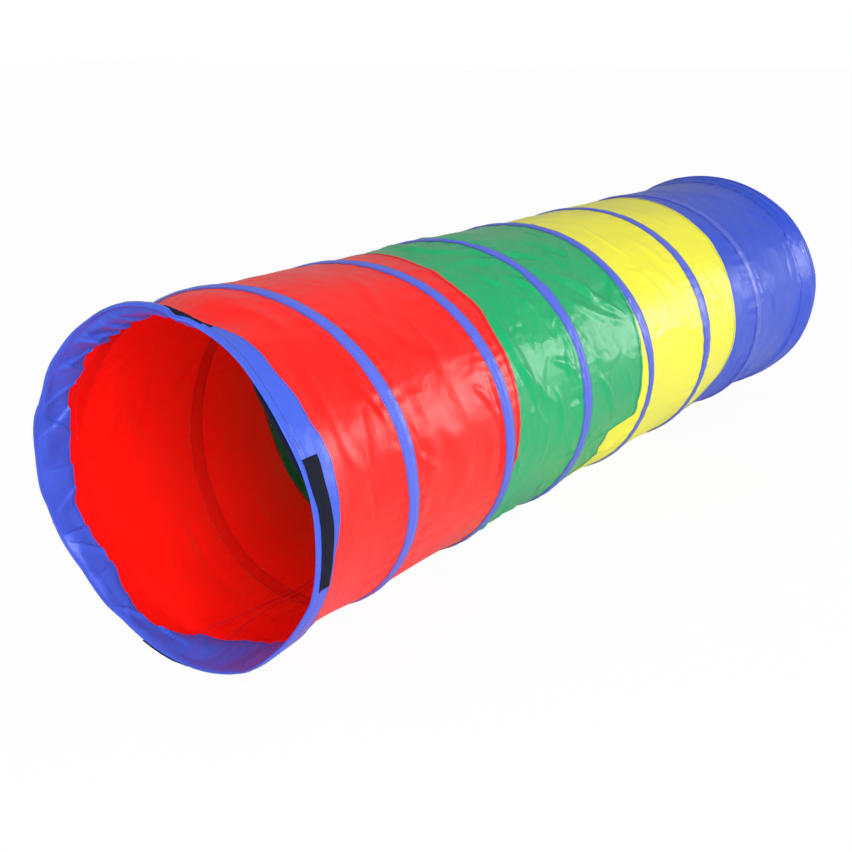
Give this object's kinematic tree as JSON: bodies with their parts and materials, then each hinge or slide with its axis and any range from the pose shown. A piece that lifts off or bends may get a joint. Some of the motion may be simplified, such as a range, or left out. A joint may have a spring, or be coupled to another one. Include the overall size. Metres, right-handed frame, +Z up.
{
  "type": "play tunnel",
  "caption": "Collapsible crawl-through play tunnel of bright cloth over a spring-wire coil, with a hooped cuff at each mouth and hook-and-loop strips.",
  "frame": {"origin": "centre of the bounding box, on the floor the tunnel lies on", "axes": "+X from the front mouth (red end) to the rear mouth (blue end), +Z up, +Y to the far side"},
  "size_m": [1.9102, 0.4814, 0.4814],
  "materials": {
    "steel_wire": "bare drawn spring steel",
    "sleeve": "zinc-plated crimp",
    "violet_cloth": "satin nylon, plain weave",
    "red_cloth": "satin nylon, plain weave",
    "green_cloth": "satin nylon, plain weave",
    "yellow_cloth": "satin nylon, plain weave",
    "blue_cloth": "satin nylon, plain weave",
    "black_strip": "matt hook-and-loop tape"
  },
  "bodies": {
    "front_end": {"front_cuff": "violet_cloth", "front_strip_top": "black_strip", "front_strip_near": "black_strip", "front_strip_bottom": "black_strip", "front_strip_far": "black_strip", "front_inner_strip": "black_strip", "front_crimp_sleeve": "sleeve", "spring_wire": "steel_wire", "wire_channel_tape": "violet_cloth"},
    "red_section": {"red_panel": "red_cloth"},
    "green_section": {"green_panel": "green_cloth"},
    "yellow_section": {"yellow_panel": "yellow_cloth"},
    "blue_section": {"blue_panel": "blue_cloth"},
    "rear_end": {"rear_cuff": "blue_cloth", "rear_strip_top": "black_strip", "rear_strip_near": "black_strip", "rear_strip_bottom": "black_strip", "rear_strip_far": "black_strip", "rear_crimp_sleeve": "sleeve"}
  },
  "joints": [
    {"name": "collapse", "type": "slide", "parent": "front_end", "child": "rear_end", "axis": [-1, 0, 0], "range_m": [0, 1.77], "stiffness_N_per_m": 8, "springref_m": -0.3, "deforming": ["spring_wire", "wire_channel_tape", "front_cuff", "front_strip_top", "front_strip_near", "front_strip_bottom", "front_strip_far", "front_inner_strip", "rear_cuff", "rear_strip_top", "rear_strip_near", "rear_strip_bottom", "rear_strip_far"]},
    {"name": "red_gathers", "type": "slide", "parent": "front_end", "child": "red_section", "axis": [-1, 0, 0], "range_m": [0, 0.26598], "deforming": ["red_panel"]},
    {"name": "green_gathers", "type": "slide", "parent": "front_end", "child": "green_section", "axis": [-1, 0, 0], "range_m": [0, 0.68866], "deforming": ["green_panel"]},
    {"name": "yellow_gathers", "type": "slide", "parent": "front_end", "child": "yellow_section", "axis": [-1, 0, 0], "range_m": [0, 1.1239], "deforming": ["yellow_panel"]},
    {"name": "blue_gathers", "type": "slide", "parent": "front_end", "child": "blue_section", "axis": [-1, 0, 0], "range_m": [0, 1.53303], "deforming": ["blue_panel"]}
  ],
  "couplings": [
    {"joint": "red_gathers", "follows": "collapse", "ratio": 0.15027},
    {"joint": "green_gathers", "follows": "collapse", "ratio": 0.38907},
    {"joint": "yellow_gathers", "follows": "collapse", "ratio": 0.63497},
    {"joint": "blue_gathers", "follows": "collapse", "ratio": 0.86612}
  ]
}
